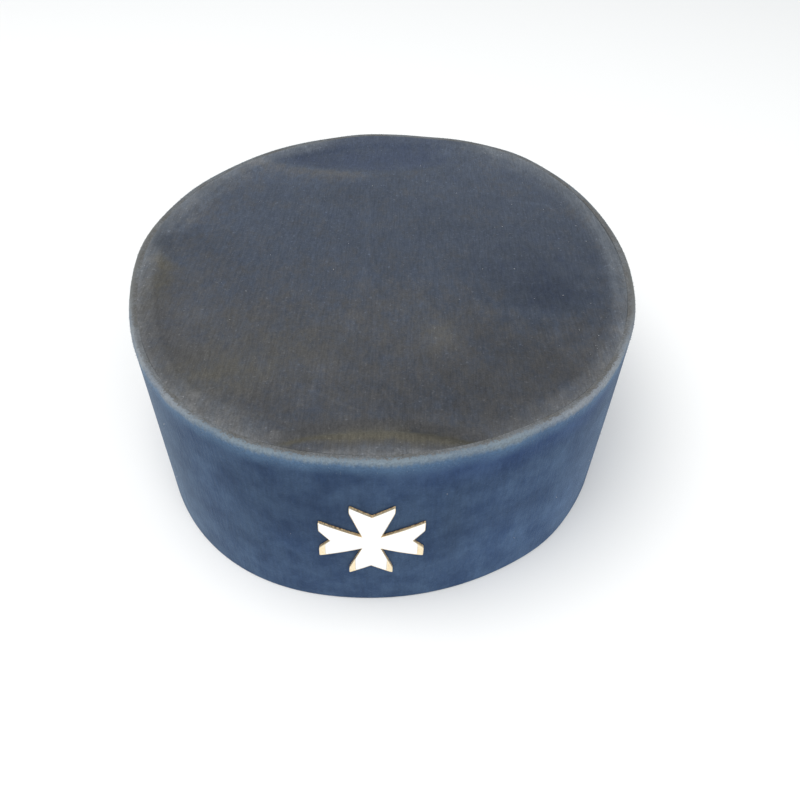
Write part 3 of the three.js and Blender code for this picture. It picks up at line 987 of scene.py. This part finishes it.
SIDE_DARK = (0.0205, 0.0400, 0.087)
SIDE_LIGHT = (0.045, 0.077, 0.136)
# The pale rim's colours: partly rubbed nap, partly painted highlight and sheen.
RIM_WORN_SHEEN_PALE = (0.162, 0.200, 0.230)
RIM_WORN_HIGHLIGHT_WHITE = (0.220, 0.238, 0.254)
RIM_WORN_SHEEN_BLUE = (0.074, 0.130, 0.212)
RIM_TAN = (0.130, 0.129, 0.118)
RIM_BACK = (0.112, 0.136, 0.160)
RIM_TOP = (0.122, 0.128, 0.134)
RIM_TOP_BROWN = (0.096, 0.094, 0.090)
BLUE_NAP = (0.97, 1.06, 1.32)  # what bluer nap multiplies the nap's colour by
# The rim fibres' pale and white tones are partly a painted highlight along the rim.
FIBRE_DARK = (0.12, 0.16, 0.20)
FIBRE_PALE = (0.24, 0.275, 0.31)
FIBRE_GLINT_WHITE = (0.46, 0.48, 0.50)


def side_velvet():
    """Clouded blue nap, pale under the rim, partly rubbed and partly a painted highlight,
    and greyer on the roll that faces up, partly as painted light.
    """
    finish, tree, shader = new_finish(
        "velvet_side",
        0.9,
        Sheen_Weight=0.2,
        Sheen_Roughness=0.35,
        Sheen_Tint=(0.72, 0.88, 1.0, 1),
        Specular_IOR_Level=0.1,
    )
    clouds = noise(tree, 11 * MM, 6, rough=0.68)
    patches = noise(tree, 16 * MM, 3, rough=0.6, shift=13.0)
    strokes = noise(tree, 0.9 * MM, 2, stretch=(1, 1, 6), shift=3.0)
    grain = noise(tree, 0.45 * MM, 2, shift=9.0)
    flecks = noise(tree, 0.7 * MM, 2, rough=0.7, shift=23.0)
    # The nap.
    colour = blended(tree, fade(tree, clouds, 0.28, 0.74), SIDE_DARK, SIDE_LIGHT)
    lift = math_node(tree, "ADD", mark(tree, "lift"), 1.0)
    stroked = spread_about(tree, strokes, 0.20)
    colour = lightened(tree, colour, lift, stroked, spread_about(tree, grain, 0.25))
    blued = {0: colour, 1: BLUE_NAP}
    blued = add(tree, "ShaderNodeVectorMath", blued, operation="MULTIPLY").outputs[0]
    colour = blended(tree, mark(tree, "blue"), colour, blued)
    # The pale rim with a ragged lower edge: partly rubbed nap, partly a painted highlight that fades
    # to a painted blue sheen below.
    below = math_node(tree, "SUBTRACT", mark(tree, "below_rim"), mark(tree, "rim_down"))
    ragged = math_node(tree, "ADD", below, fade(tree, strokes, 0.25, 0.75, -0.5, 0.5))
    ragged = math_node(tree, "ADD", ragged, fade(tree, patches, 0.3, 0.7, -0.5, 0.7))
    # worn is the rim's pale band: partly wear, partly a painted highlight.
    worn = math_node(tree, "MULTIPLY", fade(tree, ragged, 7.4, 0.8), spread_about(tree, strokes, 0.35))
    worn = math_node(tree, "MULTIPLY", worn, fade(tree, patches, 0.3, 0.7, 1.08, 0.85))
    along = along_cap(tree)
    rim = blended(tree, fade(tree, along, -96 * MM, -80 * MM), RIM_WORN_SHEEN_PALE, RIM_WORN_HIGHLIGHT_WHITE)
    rim = blended(tree, fade(tree, ragged, 0.0, 2.6), rim, RIM_WORN_SHEEN_BLUE)
    rim = blended(tree, fade(tree, along, -56 * MM, -18 * MM), rim, RIM_TAN)
    rim = blended(tree, fade(tree, along, 15 * MM, 60 * MM), rim, RIM_BACK)
    rim = lightened(tree, rim, spread_about(tree, flecks, 0.5))
    colour = blended(tree, worn, colour, rim)
    # The roll that faces up, grey like the top; the grey is partly painted light, for the blue velvet
    # facing up.
    inwards = math_node(tree, "ADD", mark(tree, "rim_in"), fade(tree, flecks, 0.3, 0.7, -0.7, 0.7))
    top = blended(tree, fade(tree, clouds, 0.4, 0.6), RIM_TOP, RIM_TOP_BROWN)
    top = lightened(tree, top, spread_about(tree, flecks, 0.6), spread_about(tree, grain, 0.5))
    colour = blended(tree, fade(tree, inwards, 0.7, 1.7), colour, top)
    tree.links.new(colour, shader.inputs["Base Color"])
    bumped(tree, shader, math_node(tree, "ADD", strokes, grain), 0.12 * MM)
    return finish


def along_cap(tree):
    """How far behind the cap's middle a place is."""
    place = add(tree, "ShaderNodeTexCoord").outputs["Object"]
    return add(tree, "ShaderNodeSeparateXYZ", {0: place}).outputs["Y"]


def rim_fibre():
    finish, tree, shader = new_finish("rim_fibre", 0.8, Specular_IOR_Level=0.2)
    tone = noise(tree, 1.5 * MM, 2)
    bright = noise(tree, 0.6 * MM, 1, shift=41.0)
    clumps = noise(tree, 9 * MM, 3, shift=2.0)
    colour = blended(tree, fade(tree, tone, 0.3, 0.7), FIBRE_DARK, FIBRE_PALE)
    # Scattered white fibres: painted glints.
    colour = blended(tree, fade(tree, bright, 0.62, 0.72), colour, FIBRE_GLINT_WHITE)
    colour = blended(tree, fade(tree, clumps, 0.45, 0.7, 0.0, 0.6), colour, RIM_TOP)
    behind = fade(tree, along_cap(tree), -50 * MM, -30 * MM, 0.0, 0.8)
    colour = blended(tree, behind, colour, RIM_TAN)
    tree.links.new(colour, shader.inputs["Base Color"])
    return finish


# The top's greys are partly painted light: it is the side's blue velvet, facing up.
TOP_NAVY = (0.039, 0.050, 0.078)
TOP_COOL = (0.047, 0.057, 0.077)
TOP_WARM = (0.062, 0.062, 0.064)
TOP_OLIVE = (0.078, 0.072, 0.056)
# The top's pale edge: partly rubbed nap, partly painted sheen.
ROLL_COOL = (0.108, 0.118, 0.130)
ROLL_WARM = (0.126, 0.126, 0.126)


def top_velvet():
    """Greyed nap, navy to brown, with olive where it is flattened and pale at its edge, partly rubbed
    and partly painted sheen.
    """
    finish, tree, shader = new_finish(
        "velvet_top",
        0.92,
        Sheen_Weight=0.05,
        Sheen_Roughness=0.5,
        Sheen_Tint=(0.9, 0.95, 1.0, 1),
        Specular_IOR_Level=0.1,
    )
    clouds = noise(tree, 5 * MM, 6, stretch=(1, 1.7, 1), rough=0.78)
    dyes = noise(tree, 4 * MM, 6, stretch=(1, 1.7, 1), rough=0.8, shift=17.0)
    tufts = noise(tree, 1.3 * MM, 3, stretch=(1, 1.5, 1), rough=0.7, shift=5.0)
    strokes = noise(tree, 0.5 * MM, 2, stretch=(1, 14, 1), shift=3.0)
    grain = noise(tree, 0.5 * MM, 2, shift=8.0)
    specks = noise(tree, 1.1 * MM, 1, shift=31.0)
    warm = math_node(tree, "ADD", mark(tree, "warm"), fade(tree, dyes, 0.25, 0.75, -0.5, 0.5))
    cool = blended(tree, fade(tree, warm, -1.0, 0.0), TOP_NAVY, TOP_COOL)
    colour = blended(tree, warm, cool, TOP_WARM)
    olive = math_node(tree, "MULTIPLY", mark(tree, "olive"), fade(tree, dyes, 0.25, 0.75, 0.6, 1.2))
    colour = blended(tree, olive, colour, TOP_OLIVE)
    # The pale edge: partly rubbed, partly painted sheen.
    pale = math_node(tree, "MULTIPLY", mark(tree, "roll"), fade(tree, clouds, 0.25, 0.75, 0.75, 1.25))
    colour = blended(tree, pale, colour, blended(tree, warm, ROLL_COOL, ROLL_WARM))
    lift = math_node(tree, "ADD", mark(tree, "lift"), 1.0)
    colour = lightened(
        tree,
        colour,
        lift,
        spread_about(tree, clouds, 0.26),
        spread_about(tree, tufts, 0.26),
        spread_about(tree, strokes, 0.32),
        spread_about(tree, grain, 0.34),
        fade(tree, specks, 0.66, 0.78, 1.0, 1.5),
    )
    tree.links.new(colour, shader.inputs["Base Color"])
    bumped(tree, shader, math_node(tree, "ADD", tufts, grain), 0.15 * MM)
    return finish


GILT_FACE = (0.95, 0.76, 0.48)
GILT_PALE = (1.0, 0.88, 0.66)
# Stain on the walls, which also stands in as painted shade next to the velvet.
GILT_STAIN = (0.16, 0.085, 0.035)
GILT_EDGE = (0.95, 0.66, 0.34)
ENAMEL_COOL = (0.90, 0.92, 0.95)
ENAMEL_WHITE = (0.95, 0.955, 0.96)
METAL_DARK = (0.52, 0.52, 0.50)
METAL_PALE = (0.66, 0.66, 0.64)


def gilt():
    """Bright on its face and darker towards the velvet behind it: stains, and painted shade between the
    badge and the cloth.
    """
    finish, tree, shader = new_finish("gilt", 0.28, Metallic=1.0)
    stains = noise(tree, 0.7 * MM, 4, rough=0.75)
    bright = blended(tree, fade(tree, stains, 0.3, 0.7), GILT_FACE, GILT_PALE)
    # The walls: stains, and painted shade where they meet the velvet.
    wall_stain_and_shade = blended(tree, fade(tree, stains, 0.40, 0.58), GILT_STAIN, GILT_EDGE)
    face = fade(tree, mark(tree, "out"), 0.5, PLATE_FACE / MM - 0.1)
    colour = blended(tree, face, wall_stain_and_shade, bright)
    tree.links.new(colour, shader.inputs["Base Color"])
    tree.links.new(fade(tree, face, 0.0, 1.0, 0.35, 1.0), shader.inputs["Metallic"])
    tree.links.new(fade(tree, stains, 0.3, 0.7, 0.5, 0.25), shader.inputs["Roughness"])
    bumped(tree, shader, noise(tree, 0.35 * MM, 2), 0.03 * MM)
    return finish


def white_enamel():
    finish, tree, shader = new_finish("white_enamel", 0.12, Coat_Weight=0.3, Coat_Roughness=0.05)
    clouds = noise(tree, 3 * MM, 3)
    colour = blended(tree, clouds, ENAMEL_COOL, ENAMEL_WHITE)
    tree.links.new(colour, shader.inputs["Base Color"])
    tree.links.new(fade(tree, clouds, 0.3, 0.7, 0.10, 0.2), shader.inputs["Roughness"])
    bumped(tree, shader, noise(tree, 2.5 * MM, 2, shift=4.0), 0.03 * MM)
    return finish


def turned_metal():
    finish, tree, shader = new_finish("turned_metal", 0.4, Metallic=1.0)
    brushing = noise(tree, 0.4 * MM, 3, stretch=(1, 8, 1))
    colour = blended(tree, brushing, METAL_DARK, METAL_PALE)
    tree.links.new(colour, shader.inputs["Base Color"])
    tree.links.new(fade(tree, brushing, 0.3, 0.7, 0.35, 0.5), shader.inputs["Roughness"])
    return finish


def finish_node(node, finish):
    """Gives its finish to a node that stays as the frame has it."""
    piece = bpy.data.objects[node]
    for material_slot in piece.material_slots:
        material_slot.material = finish


LINT = dict(Seed=3, Density=5000, Shortest=0.25 * MM, Longest=0.8 * MM, Thickness=0.12 * MM, Stray=6.0)
LINT_GREY = (0.24, 0.25, 0.27)
LINT_WHITE = (0.50, 0.50, 0.50)


def lint_white():
    finish, tree, shader = new_finish("lint_white", 0.85)
    tone = noise(tree, 12 * MM, 2)
    colour = blended(tree, fade(tree, tone, 0.4, 0.6), LINT_GREY, LINT_WHITE)
    tree.links.new(colour, shader.inputs["Base Color"])
    return finish


make_camera()
make_floor()
make_light()
band = make_band(side_velvet(), rim_fibre())
top = make_top(top_velvet())
make_badge(gilt(), white_enamel())
finish_node("badge_fixing", turned_metal())
lint_finish = lint_white()
for ground, slot, name in ((top, "velvet_top", "top_lint"), (band, "velvet_side", "band_lint")):
    dress(scatter(name, ground, "lint_here", lint_finish, LINT), slot)
